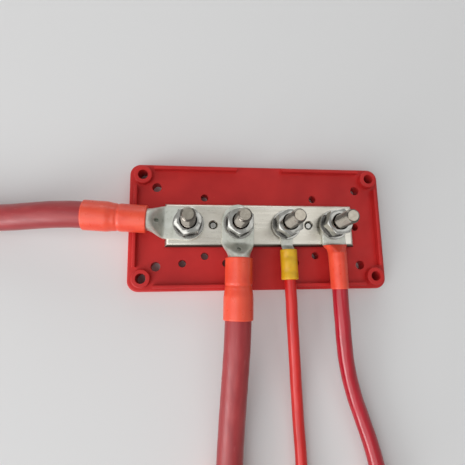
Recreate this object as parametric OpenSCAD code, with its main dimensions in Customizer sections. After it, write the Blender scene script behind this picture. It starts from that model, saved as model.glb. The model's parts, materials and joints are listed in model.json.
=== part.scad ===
// Four-stud bus bar on a moulded base, with its bolted leads.
// Millimetres. The origin is the centre of the base's underside, X runs along the bar, Z is up.

/* [Bar] */
// Distance between neighbouring studs
stud_pitch = 22.7; // [20:0.1:30]
// Bar left past the axis of each outer stud
bar_overhang = 10.7; // [8:0.1:14]
// Width of the bar
bar_w = 20; // [17:0.5:26]
// Thickness of the bar
bar_t = 4; // [3:0.25:6]
// Radius of the rolled long edges
bar_edge_r = 1.6; // [0.4:0.1:1.9]
// Radius of the rolled ends
bar_end_r = 1.9; // [0.4:0.1:1.9]

/* [Base] */
// Base left past each end of the bar
base_margin_x = 16.55; // [15:0.05:26]
// Base left past each long edge of the bar
base_margin_y = 19.8; // [17:0.1:28]
// Height of the floor that the bar lies on
floor_h = 6; // [5.6:0.1:9]
// Thickness of the floor between the cored-out cells
floor_t = 2.6; // [2:0.1:3.2]
// Thickness of the outer wall below the floor
skirt_t = 2; // [1.5:0.1:3]
// Thickness of the stiffening ribs below the floor
rib_t = 1.4; // [1:0.1:2]
// Radius of the base's corners
base_corner_r = 5; // [3:0.25:6]
// Rounding of the base's top edge
base_edge_r = 0.8; // [0.3:0.1:1.5]
// Height of the lip and the corner bosses above the floor
lip_h = 3; // [1.5:0.25:3.2]
// Width of the lip
lip_w = 1.6; // [1:0.1:2]
// Rounding of the lip's top edges
lip_edge_r = 0.5; // [0.1:0.05:0.5]
// Step between the ends of the base and the lip
lip_step_x = 2.3; // [1.6:0.1:3]
// Step between the front and back of the base and the lip
lip_step_y = 1.3; // [1:0.1:2]
// Half of the gap in the middle of the front and back lips
lip_gap_half = 11; // [6:0.5:16]
// Space left between the lip's ends and the corner bosses
lip_end_gap = 1; // [0.4:0.1:2]

/* [Base holes] */
// Diameter of the corner mounting holes
corner_hole_d = 4.6; // [4:0.1:5.2]
// Diameter of the corner bosses
corner_boss_d = 8.4; // [7.6:0.1:9.4]
// Rounding of the bosses' top edge
boss_edge_r = 0.5; // [0.1:0.05:0.8]
// Corner holes in from the ends of the base
corner_inset_x = 6.3; // [5:0.1:7.5]
// Corner holes in from the front and back of the base
corner_inset_y = 5.8; // [5:0.1:7]
// Diameter of the inner mounting holes
inner_hole_d = 4.3; // [3.5:0.1:5]
// Inner holes in from the corner holes, along the base
inner_step_x = 6.2; // [5.8:0.1:7.5]
// Inner holes in from the corner holes, across the base
inner_step_y = 5.4; // [5:0.1:7]
// Diameter of the small fixing holes
small_hole_d = 3.5; // [3:0.1:4]
// Small holes out from the midpoint between the outer stud pairs
middle_hole_shift = 3.8; // [2:0.1:6]
// First row of small holes out from the bar's edge
first_row_gap = 3.9; // [3.5:0.1:5]
// Second row of small holes out from the bar's edge
second_row_gap = 7.3; // [6.5:0.1:9]
// Second-row holes out from the outer studs
outer_row_shift = 2.75; // [1:0.25:4]
// Second-row holes out from the inner studs
inner_row_shift = 5.25; // [4:0.25:6]
// End holes out from the ends of the bar
end_hole_gap = 2.7; // [2.5:0.1:5]
// Wall of the tubes round the holes below the floor
hole_tube_t = 1.8; // [1.2:0.1:2.4]

/* [Studs and nuts] */
// Diameter of the studs
stud_d = 6.35; // [5:0.05:6.5]
// Stud left standing above the tallest nut
stud_free = 11.9; // [8:0.1:20]
// Chamfer on the stud's end
stud_chamfer = 0.9; // [0.4:0.1:1.4]
// Height of the thread above its mean diameter
thread_half = 0.41; // [0.2:0.01:0.5]
// Free thread's start above the nut
thread_clear = 0.4; // [0.2:0.1:1]
// Width across flats of the nuts and stud heads
hex_af = 11.1; // [9.5:0.1:11.5]
// Height of the nuts
nut_h = 5.5; // [4:0.1:6.5]
// Countersink at both ends of the nuts' thread
nut_sink = 1; // [0.5:0.1:1.2]
// Height of the stud heads
head_h = 4; // [3:0.1:4.4]
// Diameter of the flat washers
washer_d = 13.8; // [12:0.1:15]
// Thickness of the flat washers
washer_t = 1.6; // [1:0.1:2]
// Diameter of the spring washers
spring_d = 12; // [11:0.1:12.5]
// Thickness of the spring washers
spring_t = 1.6; // [1:0.1:2.2]
// Width of the split in the spring washers
spring_split = 1.2; // [0.6:0.1:2]
// Diameter of the bar's fixing screws
screw_d = 3.3; // [2.5:0.1:3.6]
// Diameter of the screw heads
screw_head_d = 6.6; // [5.5:0.1:7]
// Height of the screw heads
screw_head_h = 2.2; // [1.6:0.1:2.6]
// Bevel round the screw heads
screw_head_bevel = 0.6; // [0.3:0.1:1]
// Chamfer on the screw tips
screw_chamfer = 0.4; // [0.2:0.1:0.8]
// Screw tip below the bar's top face
screw_sink = 0.7; // [0.3:0.1:1.5]
// Depth of the countersink round each screw on top of the bar
screw_rim = 0.5; // [0.2:0.1:0.7]

/* [Large lugs] */
// Width of the palm
palm_w = 14.7; // [13:0.1:16]
// Thickness of the palm
palm_t = 2.4; // [1.6:0.1:3.2]
// Diameter of the hole, a size up from the studs
eye_d = 8.6; // [8.6:0.1:9]
// Left lug's hole off the stud's axis, towards the cable
left_slip = 0.9; // [-1:0.1:1]
// Centre lug's hole off the stud's axis, towards the cable
centre_slip = -1; // [-1:0.1:1]
// Rounded end of the palm behind the hole's axis
palm_tail = 8.2; // [8:0.1:10]
// Straight palm in front of the hole's axis
palm_front = 9.2; // [8:0.1:10]
// Length of the neck between palm and barrel
neck_l = 7.5; // [6:0.1:7.5]
// Diameter of the barrel
barrel_d = 9.6; // [9:0.1:10.6]
// Barrel's underside above the palm's underside
barrel_rise = 1.2; // [0.8:0.1:2]
// Hole's axis to the open end of the barrel
lug_reach = 30; // [29:0.1:34]
// Diameter of the sight hole in the neck
sight_d = 2; // [1.5:0.1:2.5]
// Diameter of the conductor
core_d = 7.4; // [6.5:0.1:7.8]
// Length of conductor inside the barrel
core_depth = 11; // [8:0.5:12]
// Diameter of the cable
cable_d = 11.5; // [10.5:0.1:12.5]
// Wall of the sleeve over the cable
sleeve_t = 0.75; // [0.5:0.05:0.9]
// Wall of the sleeve where it has drawn down on the barrel
sleeve_barrel_t = 1.25; // [0.8:0.05:1.4]
// Length of the sleeve
sleeve_l = 26.7; // [24:0.1:28]
// Sleeve's start, from the hole's axis
sleeve_at = 16.8; // [16.7:0.1:19]
// Depth of the crease where the sleeve leaves the barrel
crease_depth = 0.4; // [0.2:0.05:0.6]
// Width of one side of the crease
crease_w = 1; // [0.6:0.1:1.4]
// Length over which the sleeve widens to the cable
flare_l = 2.4; // [1:0.1:4]

/* [Right lug] */
// Width of the palm
small_palm_w = 11; // [10:0.1:12]
// Thickness of the palm
small_palm_t = 2; // [1.4:0.1:2.6]
// Rounded end of the palm behind the stud's axis
small_palm_tail = 6; // [5.6:0.1:7]
// Straight palm in front of the stud's axis
small_palm_front = 8.6; // [7:0.1:9]
// Length of the neck between palm and barrel
small_neck_l = 5; // [4:0.1:5.5]
// Diameter of the barrel
small_barrel_d = 6.4; // [6:0.1:6.8]
// Barrel's underside above the palm's underside
small_barrel_rise = 0.8; // [0.5:0.1:1.4]
// Stud axis to the open end of the barrel
small_reach = 20.9; // [19:0.1:23]
// Diameter of the sight hole in the neck
small_sight_d = 1.4; // [1:0.1:2]
// Diameter of the conductor
small_core_d = 4.6; // [4:0.1:5]
// Length of conductor inside the barrel
small_core_depth = 7.5; // [6:0.5:8]
// Diameter of the cable
small_cable_d = 7; // [6.6:0.1:7.6]
// Wall of the sleeve at its end on the cable
small_sleeve_t = 0.45; // [0.3:0.05:0.8]
// Width of the sleeve's mouth on the neck
mouth_w = 11; // [10.6:0.1:12]
// Height of the sleeve's mouth on the neck
mouth_h = 5; // [4.6:0.1:6]
// Diameter of the sleeve where the neck ends
collar_d = 8.4; // [7.6:0.1:8.8]
// Sleeve's mouth, in from the bar's front edge
small_sleeve_lap = 0.4; // [0.2:0.1:0.4]
// Length of the sleeve
small_sleeve_l = 20.4; // [18:0.2:20.4]

/* [Ring terminal] */
// Diameter of the ring
ring_d = 11; // [10:0.25:12]
// Thickness of the ring
ring_t = 1; // [0.8:0.05:1.4]
// Width of the tongue where it leaves the ring
tongue_w = 7; // [5:0.1:8]
// Width of the tongue at the barrel
tongue_end_w = 5.2; // [4:0.1:5.4]
// Ring axis to the end of the tongue
tongue_reach = 9.6; // [8:0.1:10.4]
// Diameter of the terminal's barrel
crimp_d = 5.6; // [5:0.1:6]
// Ring axis to the open end of the barrel
crimp_reach = 18.9; // [17:0.1:20]
// Diameter of the wire's conductor
wire_core_d = 3.6; // [3:0.1:4]
// Length of conductor inside the barrel
wire_core_depth = 6; // [4:0.5:6]
// Diameter of the wire
wire_d = 5.2; // [4.6:0.1:5.4]
// Width of the insulating sleeve
grip_w = 7.8; // [7.4:0.1:9]
// Height of the insulating sleeve
grip_h = 7; // [6.8:0.1:7.4]
// Sleeve's start, from the ring's axis
grip_at = 11.7; // [11:0.1:12.5]
// Length of the sleeve
grip_l = 13.7; // [11.5:0.1:14]
// Crimp dents in from the ends of the sleeve
dent_inset = 3.6; // [2.5:0.1:4.5]
// Depth of the two crimp dents in the sleeve
dent_depth = 0.45; // [0.2:0.05:0.55]
// Radius of the crimp dents
dent_r = 2.2; // [1.5:0.1:3]

/* [Clearances] */
// Room round a stud in a hole that it passes through, on the diameter
stud_room = 0.4; // [0.2:0.05:0.8]
// Room between threads that screw together, on the diameter
thread_room = 0.1; // [0.05:0.05:0.2]
// Room round a hex head in its pocket, across the flats
pocket_room = 0.3; // [0.1:0.05:0.6]
// Depth of the head pockets below the heads
head_recess = 0.2; // [0.1:0.05:0.6]
// Room between a sleeve and what it grips, on the radius
sleeve_room = 0.05; // [0.03:0.01:0.1]
// Room between a conductor and its barrel, on the radius
core_room = 0.05; // [0.03:0.01:0.1]
// Gap between the end of a barrel and the end of the insulation
seam = 0.1; // [0.05:0.05:0.3]

/* [Hidden] */
$fn = 64;
lap = 0.02;
cut = 1;
stud_count = 4;
cable_sides = 12;

bar_l = (stud_count - 1) * stud_pitch + 2 * bar_overhang;
base_l = bar_l + 2 * base_margin_x;
base_w = bar_w + 2 * base_margin_y;
bar_top = floor_h + bar_t;
stud_x = [for (i = [0 : stud_count - 1]) (i - (stud_count - 1) / 2) * stud_pitch];
stud_hole_d = stud_d + stud_room;
thread_mean_d = stud_d - 2 * thread_half;
screw_x = (stud_x[2] + stud_x[3]) / 2;
screw_hole_d = screw_d + thread_room;

corner_x = base_l / 2 - corner_inset_x;
corner_y = base_w / 2 - corner_inset_y;
lip_x = base_l / 2 - lip_step_x - lip_w / 2;
lip_y = base_w / 2 - lip_step_y - lip_w / 2;
inner_x = corner_x - inner_step_x;
inner_y = corner_y - inner_step_y;
first_row_y = bar_w / 2 + first_row_gap;
second_row_y = bar_w / 2 + second_row_gap;
middle_x = screw_x + middle_hole_shift;
end_hole_x = bar_l / 2 + end_hole_gap;
spine_w = hex_af / cos(30) + pocket_room + 2 * skirt_t + 2;
head_seat = head_recess + head_h;

// What each nut clamps to the bar, from the left stud to the right one
clamped_t = [palm_t, palm_t, ring_t, small_palm_t];
nut_foot = [for (t = clamped_t) bar_top + t + washer_t + spring_t];
nut_turn = [12, 27, 30, 10];
stud_top = max(nut_foot) + nut_h + stud_free;

// Heights of the barrels above the underside of their palms
barrel_axis = barrel_rise + barrel_d / 2;
small_axis = small_barrel_rise + small_barrel_d / 2;
crimp_axis = crimp_d / 2;
small_neck_end = small_palm_front + small_neck_l;
small_sleeve_at = bar_w / 2 - small_sleeve_lap;
crimp_at = grip_at - seam;

// Routes of the leads: along X and Y from their own stud, and up from the surface below.
// Each starts in line with its lug, comes down to the surface and ends in line with the far lug.
left_route = [[-45, 3, bar_top + barrel_axis], [-50, 3.2, 15.8], [-54, 3.2, 15.4], [-58, 3.2, 14.8],
    [-62, 3.1, 14], [-66, 3, 13], [-70, 2.9, 12], [-74, 2.8, 10.9], [-78, 2.8, 9.9], [-82, 2.8, 8.9],
    [-86, 2.9, 8], [-90, 3, 7.2], [-94, 3, 6.7], [-99, 3, 6.5], [-114, 3, 6.5]];
centre_route = [[-1.4, -42.5, bar_top + barrel_axis], [-1.6, -47, 15.8], [-1.8, -51, 15.5],
    [-2, -55, 14.9], [-2.3, -59, 14.2], [-2.5, -63, 13.4], [-2.8, -67, 12.6], [-3, -71, 11.7],
    [-3.3, -75, 10.8], [-3.5, -79, 9.9], [-3.8, -83, 9], [-4, -87, 8.2], [-4.2, -91, 7.5],
    [-4.5, -95, 7], [-4.7, -99, 6.6], [-5, -104, 6.5], [-5.8, -119, 6.5]];
thin_route = [[0.3, -26, bar_top + crimp_axis], [0.4, -31, 12.8], [0.6, -36, 12.5], [0.7, -41, 12],
    [1, -46, 11.2], [1.4, -51, 10.2], [1.8, -56, 9], [2.2, -61, 7.9], [2.6, -66, 6.7],
    [2.9, -71, 5.7], [3.3, -76, 4.8], [3.6, -81, 4.1], [3.8, -86, 3.7], [4, -91, 3.5],
    [4.2, -96, 3.5], [4.4, -102, 3.5], [4.5, -108, 3.5], [4.8, -120, 3.5]];
right_route = [[0.3, -30, bar_top + small_axis], [0.4, -35, 13.8], [0.6, -40, 13.4], [1, -45, 12.8],
    [1.4, -50, 11.9], [2, -55, 10.9], [2.7, -60, 9.7], [3.7, -65, 8.6], [4.9, -70, 7.4],
    [6.3, -75, 6.5], [7.8, -80, 5.7], [9.6, -85, 5.1], [11.2, -90, 4.8], [13.1, -96, 4.7],
    [14.7, -102, 4.7], [16, -108, 4.7], [18.4, -120, 4.7]];

function unit(v) = v / norm(v);
function flat(v) = [v[0], v[1], 0];
function last(v) = v[len(v) - 1];

// A lead's points in the part's own frame, with its start at the open end of the near barrel
function lead(i, reach, route) = let (heading = unit(flat(route[0])))
    [for (p = concat([heading * (reach + seam) + [0, 0, route[0][2]]], route)) p + [stud_x[i], 0, 0]];
left_lead = lead(0, left_slip + lug_reach, left_route);
centre_lead = lead(1, centre_slip + lug_reach, centre_route);
thin_lead = lead(2, crimp_reach, thin_route);
right_lead = lead(3, small_reach, right_route);

function tangent(pts, i) = unit(pts[min(i + 1, len(pts) - 1)] - pts[max(i - 1, 0)]);
function ring(p, t, r, sides) = let (side = unit(cross(t, [0, 0, 1])), up = cross(side, t))
    [for (k = [0 : sides - 1]) p + r * (cos(360 * k / sides) * side + sin(360 * k / sides) * up)];

// Small shared shapes

module rounded_plate(l, w, r) {
    square([l - 2 * r, w], center = true);
    square([l, w - 2 * r], center = true);
    four_ways(l / 2 - r, w / 2 - r)
        circle(r);
}

// Upright section of a plate w wide and h high, with its top edges rounded, or all four
module edge_section(w, h, r, all_round) {
    translate([-w / 2, all_round ? r : 0])
        square([w, h - (all_round ? 2 : 1) * r]);
    translate([r - w / 2, 0])
        square([w - 2 * r, h]);
    for (x = [-1, 1], y = all_round ? [r, h - r] : [h - r])
        translate([x * (w / 2 - r), y])
            circle(r);
}

// An upright section drawn out along X or along Y
module along_plate_x(l) {
    rotate([90, 0, 90])
        linear_extrude(l, center = true)
            children();
}

module along_plate_y(l) {
    rotate([90, 0, 0])
        linear_extrude(l, center = true)
            children();
}

// A disc with its top edge rounded
module eased_disc(d, h, r) {
    rotate_extrude()
        intersection() {
            edge_section(d, h, r, false);
            translate([0, -cut])
                square([d, h + 2 * cut]);
        }
}

// A plate with rounded corners and its top edge rounded all the way round
module eased_plate(l, w, h, corner, r) {
    along_plate_x(l - 2 * corner)
        edge_section(w, h, r, false);
    along_plate_y(w - 2 * corner)
        edge_section(l, h, r, false);
    four_ways(l / 2 - corner, w / 2 - corner)
        eased_disc(2 * corner, h, r);
}

module four_ways(x, y) {
    for (sx = [-1, 1], sy = [-1, 1])
        translate([sx * x, sy * y])
            children();
}

module both_ends(x, y) {
    for (sx = [-1, 1])
        translate([sx * x, y])
            children();
}

module along_x() {
    rotate([0, 90, 0])
        children();
}

module at_studs() {
    for (i = [0 : stud_count - 1])
        translate([stud_x[i], 0, 0]) {
            $stud = i;
            children();
        }
}

// A hex prism with its corners turned off at both ends or at the top alone
module hex_block(af, h, both) {
    corner = af / 2 / cos(30);
    drop = (corner - af / 2) * tan(30);
    intersection() {
        cylinder(r = corner, h = h, $fn = 6);
        rotate_extrude()
            polygon([[0, 0], [both ? af / 2 : corner, 0], [corner, both ? drop : 0], [corner, h - drop],
                [af / 2, h], [0, h]]);
    }
}

// Base

module corner_holes() {
    four_ways(corner_x, corner_y)
        circle(d = corner_hole_d);
}

module inner_holes() {
    four_ways(inner_x, inner_y)
        circle(d = inner_hole_d);
}

module small_holes(grow) {
    four_ways(middle_x, first_row_y)
        circle(d = small_hole_d + grow);
    both_ends(stud_x[3] + outer_row_shift, -second_row_y)
        circle(d = small_hole_d + grow);
    both_ends(stud_x[2] + inner_row_shift, -second_row_y)
        circle(d = small_hole_d + grow);
    both_ends(end_hole_x, 0)
        circle(d = small_hole_d + grow);
}

// Everything that stays solid between the cored-out cells, seen from below
module under_floor_webs() {
    square([bar_l, spine_w], center = true);
    square([base_l, rib_t], center = true);
    for (x = [-bar_l / 2, -screw_x, 0, screw_x, bar_l / 2])
        translate([x, 0])
            square([rib_t, base_w], center = true);
    four_ways(corner_x, corner_y)
        circle(d = corner_boss_d);
    four_ways(inner_x, inner_y)
        circle(d = inner_hole_d + 2 * hole_tube_t);
    small_holes(2 * hole_tube_t);
}

module lip() {
    side_l = 2 * (corner_y - corner_boss_d / 2 - lip_end_gap);
    front_l = corner_x - corner_boss_d / 2 - lip_end_gap - lip_gap_half;
    both_ends(lip_x, 0)
        along_plate_y(side_l)
            edge_section(lip_w, floor_h + lip_h, lip_edge_r, false);
    four_ways(lip_gap_half + front_l / 2, lip_y)
        along_plate_x(front_l)
            edge_section(lip_w, floor_h + lip_h, lip_edge_r, false);
}

module base() {
    color("#b02e2e")
        difference() {
            union() {
                eased_plate(base_l, base_w, floor_h, base_corner_r, base_edge_r);
                lip();
                four_ways(corner_x, corner_y)
                    eased_disc(corner_boss_d, floor_h + lip_h, boss_edge_r);
            }
            translate([0, 0, -cut])
                linear_extrude(floor_h - floor_t + cut)
                    difference() {
                        rounded_plate(base_l - 2 * skirt_t, base_w - 2 * skirt_t,
                            base_corner_r - skirt_t / 2);
                        under_floor_webs();
                    }
            translate([0, 0, -cut])
                linear_extrude(floor_h + lip_h + 2 * cut) {
                    corner_holes();
                    inner_holes();
                    small_holes(0);
                    both_ends(screw_x, 0)
                        circle(d = screw_d + stud_room);
                }
            at_studs() {
                translate([0, 0, -cut])
                    cylinder(d = stud_hole_d, h = floor_h + 2 * cut);
                translate([0, 0, -cut])
                    rotate(nut_turn[0])
                        cylinder(d = (hex_af + pocket_room) / cos(30), h = head_seat + cut, $fn = 6);
            }
            for (sx = [-1, 1])
                translate([sx * screw_x, 0, -cut])
                    cylinder(d = screw_head_d + stud_room, h = head_recess + screw_head_h + cut);
        }
}

// Bar

module bar() {
    color("#cfccc0")
        translate([0, 0, floor_h])
            difference() {
                intersection() {
                    along_plate_x(bar_l)
                        edge_section(bar_w, bar_t, min(bar_edge_r, bar_t / 2 - lap), true);
                    along_plate_y(bar_w)
                        edge_section(bar_l, bar_t, min(bar_end_r, bar_t / 2 - lap), true);
                }
                at_studs()
                    translate([0, 0, -cut])
                        cylinder(d = stud_hole_d, h = bar_t + 2 * cut);
                for (sx = [-1, 1])
                    translate([sx * screw_x, 0, 0]) {
                        translate([0, 0, -cut])
                            cylinder(d = screw_hole_d, h = bar_t + 2 * cut);
                        translate([0, 0, bar_t - screw_rim])
                            cylinder(d1 = screw_hole_d, d2 = screw_hole_d + 4 * screw_rim,
                                h = 2 * screw_rim);
                    }
            }
}

// Fasteners

// Half section of a stud. Where the nut's thread engages, both are drawn at the mean diameter.
module stud_section(nut_from, free_from) {
    r = stud_d / 2;
    polygon([[0, head_seat - lap], [r, head_seat - lap], [r, nut_from], [thread_mean_d / 2, nut_from],
        [thread_mean_d / 2, free_from], [r, free_from], [r, stud_top - stud_chamfer],
        [r - stud_chamfer, stud_top], [0, stud_top]]);
}

module stud_bolts() {
    color("#8f8a80")
        at_studs() {
            translate([0, 0, head_seat])
                rotate([180, 0, nut_turn[0]])
                    hex_block(hex_af, head_h, false);
            rotate_extrude()
                stud_section(nut_foot[$stud], nut_foot[$stud] + nut_h + thread_clear);
        }
}

module bar_screws() {
    tip = bar_top - screw_sink - head_recess;
    head_r = screw_head_d / 2;
    shank_r = screw_d / 2;
    color("#b9b6ad")
        for (sx = [-1, 1])
            translate([sx * screw_x, 0, head_recess])
                rotate_extrude()
                    polygon([[0, 0], [head_r - screw_head_bevel, 0], [head_r, screw_head_bevel],
                        [head_r, screw_head_h], [shank_r, screw_head_h], [shank_r, tip - screw_chamfer],
                        [shank_r - screw_chamfer, tip], [0, tip]]);
}

module flat_washers() {
    color("#c4c3bd")
        at_studs()
            translate([0, 0, bar_top + clamped_t[$stud]])
                difference() {
                    cylinder(d = washer_d, h = washer_t);
                    translate([0, 0, -cut])
                        cylinder(d = stud_hole_d, h = washer_t + 2 * cut);
                }
}

module spring_washers() {
    color("#a9a8a3")
        at_studs()
            translate([0, 0, bar_top + clamped_t[$stud] + washer_t])
                rotate(nut_turn[$stud])
                    difference() {
                        cylinder(d = spring_d, h = spring_t);
                        translate([0, 0, -cut])
                            cylinder(d = stud_hole_d, h = spring_t + 2 * cut);
                        translate([spring_d / 2, 0, spring_t / 2])
                            rotate([25, 0, 0])
                                cube([spring_d, spring_split, 4 * spring_t], center = true);
                    }
}

module nuts() {
    thread_r = (thread_mean_d + thread_room) / 2;
    wide_r = thread_r + 2 * nut_sink;
    color("#b5b3ac")
        at_studs()
            translate([0, 0, nut_foot[$stud]])
                rotate(nut_turn[$stud])
                    difference() {
                        hex_block(hex_af, nut_h, true);
                        translate([0, 0, -cut])
                            cylinder(r = thread_r, h = nut_h + 2 * cut);
                        translate([0, 0, nut_h - nut_sink])
                            cylinder(r1 = thread_r, r2 = wide_r, h = 2 * nut_sink);
                        translate([0, 0, -nut_sink])
                            cylinder(r1 = wide_r, r2 = thread_r, h = 2 * nut_sink);
                    }
}

// Leads. A lug, terminal or sleeve is drawn with its hole on Z, its palm's underside at z = 0
// and its barrel along +X; these two put it on its stud or at the far end of its lead.

module near_end(pts, i, slip) {
    way = pts[1] - pts[0];
    translate([stud_x[i], 0, bar_top])
        rotate(atan2(way[1], way[0]))
            translate([slip, 0, 0])
                children();
}

module far_end(pts, reach, axis) {
    way = unit(last(pts) - pts[len(pts) - 2]);
    translate(last(pts) + way * (reach + seam) - [0, 0, axis])
        rotate(atan2(-way[1], -way[0]))
            children();
}

module tube_along(pts, d, sides) {
    n = len(pts);
    rings = [for (i = [0 : n - 1]) each ring(pts[i], tangent(pts, i), d / 2, sides)];
    walls = [for (i = [0 : n - 2], k = [0 : sides - 1]) let (j = (k + 1) % sides)
        [i * sides + k, (i + 1) * sides + k, (i + 1) * sides + j, i * sides + j]];
    ends = [[for (k = [0 : sides - 1]) k], [for (k = [sides - 1 : -1 : 0]) (n - 1) * sides + k]];
    polyhedron(rings, concat(walls, ends));
}

// The flattened tube between palm and barrel, grown evenly for the sleeve that covers it
module neck(w, t, front, l, d, axis, grow) {
    hull() {
        translate([front - lap, -w / 2 - grow, -grow])
            cube([lap, w + 2 * grow, t + 2 * grow]);
        translate([front + l, 0, axis])
            along_x()
                cylinder(d = d + 2 * grow, h = lap, $fn = 32);
    }
}

module tube_lug(w, t, eye, tail, front, l, d, axis, reach, core, depth, sight) {
    difference() {
        union() {
            linear_extrude(t) {
                translate([w / 2 - tail, 0])
                    circle(d = w);
                translate([w / 2 - tail, -w / 2])
                    square([front + tail - w / 2, w]);
            }
            neck(w, t, front, l, d, axis, 0);
            translate([front + l, 0, axis])
                along_x()
                    cylinder(d = d, h = reach - front - l);
        }
        translate([0, 0, -cut])
            cylinder(d = eye, h = t + 2 * cut);
        translate([reach - depth, 0, axis])
            along_x()
                cylinder(d = core + 2 * core_room, h = depth + cut);
        translate([front + l / 2, 0, axis])
            cylinder(d = sight, h = d);
    }
}

module large_lug() {
    color("#bfc0b8")
        tube_lug(palm_w, palm_t, eye_d, palm_tail, palm_front, neck_l, barrel_d, barrel_axis, lug_reach,
            core_d, core_depth, sight_d);
}

module small_lug() {
    color("#bfc0b8")
        tube_lug(small_palm_w, small_palm_t, stud_hole_d, small_palm_tail, small_palm_front,
            small_neck_l, small_barrel_d, small_axis, small_reach, small_core_d, small_core_depth,
            small_sight_d);
}

// Bare strands in the barrel, from the bottom of its bore to just short of the insulation
module conductor(d, axis, reach, depth) {
    color("#b87040")
        translate([reach - depth, 0, axis])
            along_x()
                cylinder(d = d, h = depth + seam / 2);
}

// Heat-shrink over the end of the barrel and the start of the cable, with the crease where they meet
module large_shrink() {
    on_barrel = barrel_d / 2 + sleeve_room;
    on_cable = cable_d / 2 + sleeve_room;
    over_barrel = barrel_d / 2 + sleeve_barrel_t;
    over_cable = cable_d / 2 + sleeve_t;
    end = sleeve_at + sleeve_l;
    bevel = sleeve_t / 2;
    crease_at = lug_reach - crease_w;
    flare_at = lug_reach + crease_w;
    color("#e8553f")
        translate([0, 0, barrel_axis])
            along_x()
                rotate_extrude()
                    polygon([[on_barrel, sleeve_at], [over_barrel - bevel, sleeve_at],
                        [over_barrel, sleeve_at + bevel], [over_barrel, crease_at - crease_w],
                        [over_barrel - crease_depth, crease_at], [over_barrel, lug_reach],
                        [over_barrel, flare_at], [over_cable, flare_at + flare_l],
                        [over_cable, end - bevel], [over_cable - bevel, end], [on_cable, end],
                        [on_cable, lug_reach], [on_barrel, lug_reach]]);
}

// A thin disc across the right lug's barrel, to hull the sleeve from
module sleeve_disc(at, d) {
    translate([at, 0, small_axis])
        along_x()
            cylinder(d = d, h = lap, $fn = 32);
}

// The right lug's sleeve also reaches up over the neck, where it spreads out flat
module small_shrink() {
    end = small_sleeve_at + small_sleeve_l;
    spread = (mouth_w - mouth_h) / 2;
    color("#ee5a3c")
        difference() {
            union() {
                hull() {
                    for (y = [-spread, spread])
                        translate([0, y, mouth_h / 2 + sleeve_room - small_axis])
                            sleeve_disc(small_sleeve_at, mouth_h);
                    sleeve_disc(small_neck_end, collar_d);
                }
                hull() {
                    sleeve_disc(small_neck_end, collar_d);
                    sleeve_disc(end - lap, small_cable_d + 2 * small_sleeve_t);
                }
            }
            neck(small_palm_w, small_palm_t, small_palm_front, small_neck_l, small_barrel_d,
                small_axis, sleeve_room);
            translate([small_neck_end - lap, 0, small_axis])
                along_x()
                    cylinder(d = small_barrel_d + 2 * sleeve_room, h = end);
            translate([small_reach, 0, small_axis])
                along_x()
                    cylinder(d = small_cable_d + 2 * sleeve_room, h = end);
        }
}

module terminal() {
    color("#c9c7bd")
        difference() {
            union() {
                linear_extrude(ring_t) {
                    circle(d = ring_d);
                    polygon([[0, -tongue_w / 2], [tongue_reach, -tongue_end_w / 2],
                        [tongue_reach, tongue_end_w / 2], [0, tongue_w / 2]]);
                }
                neck(tongue_end_w, ring_t, tongue_reach, crimp_at - tongue_reach,
                    crimp_d, crimp_axis, 0);
                translate([crimp_at, 0, crimp_axis])
                    along_x()
                        cylinder(d = crimp_d, h = crimp_reach - crimp_at);
            }
            translate([0, 0, -cut])
                cylinder(d = stud_hole_d, h = ring_t + 2 * cut);
            translate([crimp_reach - wire_core_depth, 0, crimp_axis])
                along_x()
                    cylinder(d = wire_core_d + 2 * core_room, h = wire_core_depth + cut);
        }
}

// Moulded sleeve of the ring terminal, pinched by the crimping tool
module grip() {
    color("#d8ae3a")
        translate([0, 0, crimp_axis])
            difference() {
                translate([grip_at, 0, 0])
                    along_x()
                        linear_extrude(grip_l) {
                            square([grip_h, grip_w - grip_h], center = true);
                            for (y = [-1, 1])
                                translate([0, y * (grip_w - grip_h) / 2])
                                    circle(d = grip_h);
                        }
                translate([grip_at - cut, 0, 0])
                    along_x()
                        cylinder(d = crimp_d + 2 * sleeve_room, h = crimp_reach - grip_at + cut);
                translate([crimp_reach - lap, 0, 0])
                    along_x()
                        cylinder(d = wire_d + 2 * sleeve_room, h = grip_l);
                for (x = [dent_inset, grip_l - dent_inset])
                    translate([grip_at + x, 0, grip_h / 2 - dent_depth + dent_r])
                        rotate([90, 0, 0])
                            cylinder(r = dent_r, h = 2 * grip_w, center = true);
            }
}

module large_core() {
    conductor(core_d, barrel_axis, lug_reach, core_depth);
}

module small_core() {
    conductor(small_core_d, small_axis, small_reach, small_core_depth);
}

module wire_core() {
    conductor(wire_core_d, crimp_axis, crimp_reach, wire_core_depth);
}

// Left lead

module left_near() {
    near_end(left_lead, 0, left_slip)
        children();
}

module left_far() {
    far_end(left_lead, lug_reach, barrel_axis)
        children();
}

module left_lug() {
    left_near() large_lug();
}

module left_conductor() {
    left_near() large_core();
    left_far() large_core();
}

module left_shrink() {
    left_near() large_shrink();
}

module left_cable() {
    color("#9a3a3c") tube_along(left_lead, cable_d, cable_sides);
}

module left_far_shrink() {
    left_far() large_shrink();
}

module left_far_lug() {
    left_far() large_lug();
}

// Centre lead

module centre_near() {
    near_end(centre_lead, 1, centre_slip)
        children();
}

module centre_far() {
    far_end(centre_lead, lug_reach, barrel_axis)
        children();
}

module centre_lug() {
    centre_near() large_lug();
}

module centre_conductor() {
    centre_near() large_core();
    centre_far() large_core();
}

module centre_shrink() {
    centre_near() large_shrink();
}

module centre_cable() {
    color("#9a3a3c") tube_along(centre_lead, cable_d, cable_sides);
}

module centre_far_shrink() {
    centre_far() large_shrink();
}

module centre_far_lug() {
    centre_far() large_lug();
}

// Thin wire with its ring terminals

module thin_near() {
    near_end(thin_lead, 2, 0)
        children();
}

module thin_far() {
    far_end(thin_lead, crimp_reach, crimp_axis)
        children();
}

module ring_terminal() {
    thin_near() terminal();
}

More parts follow.
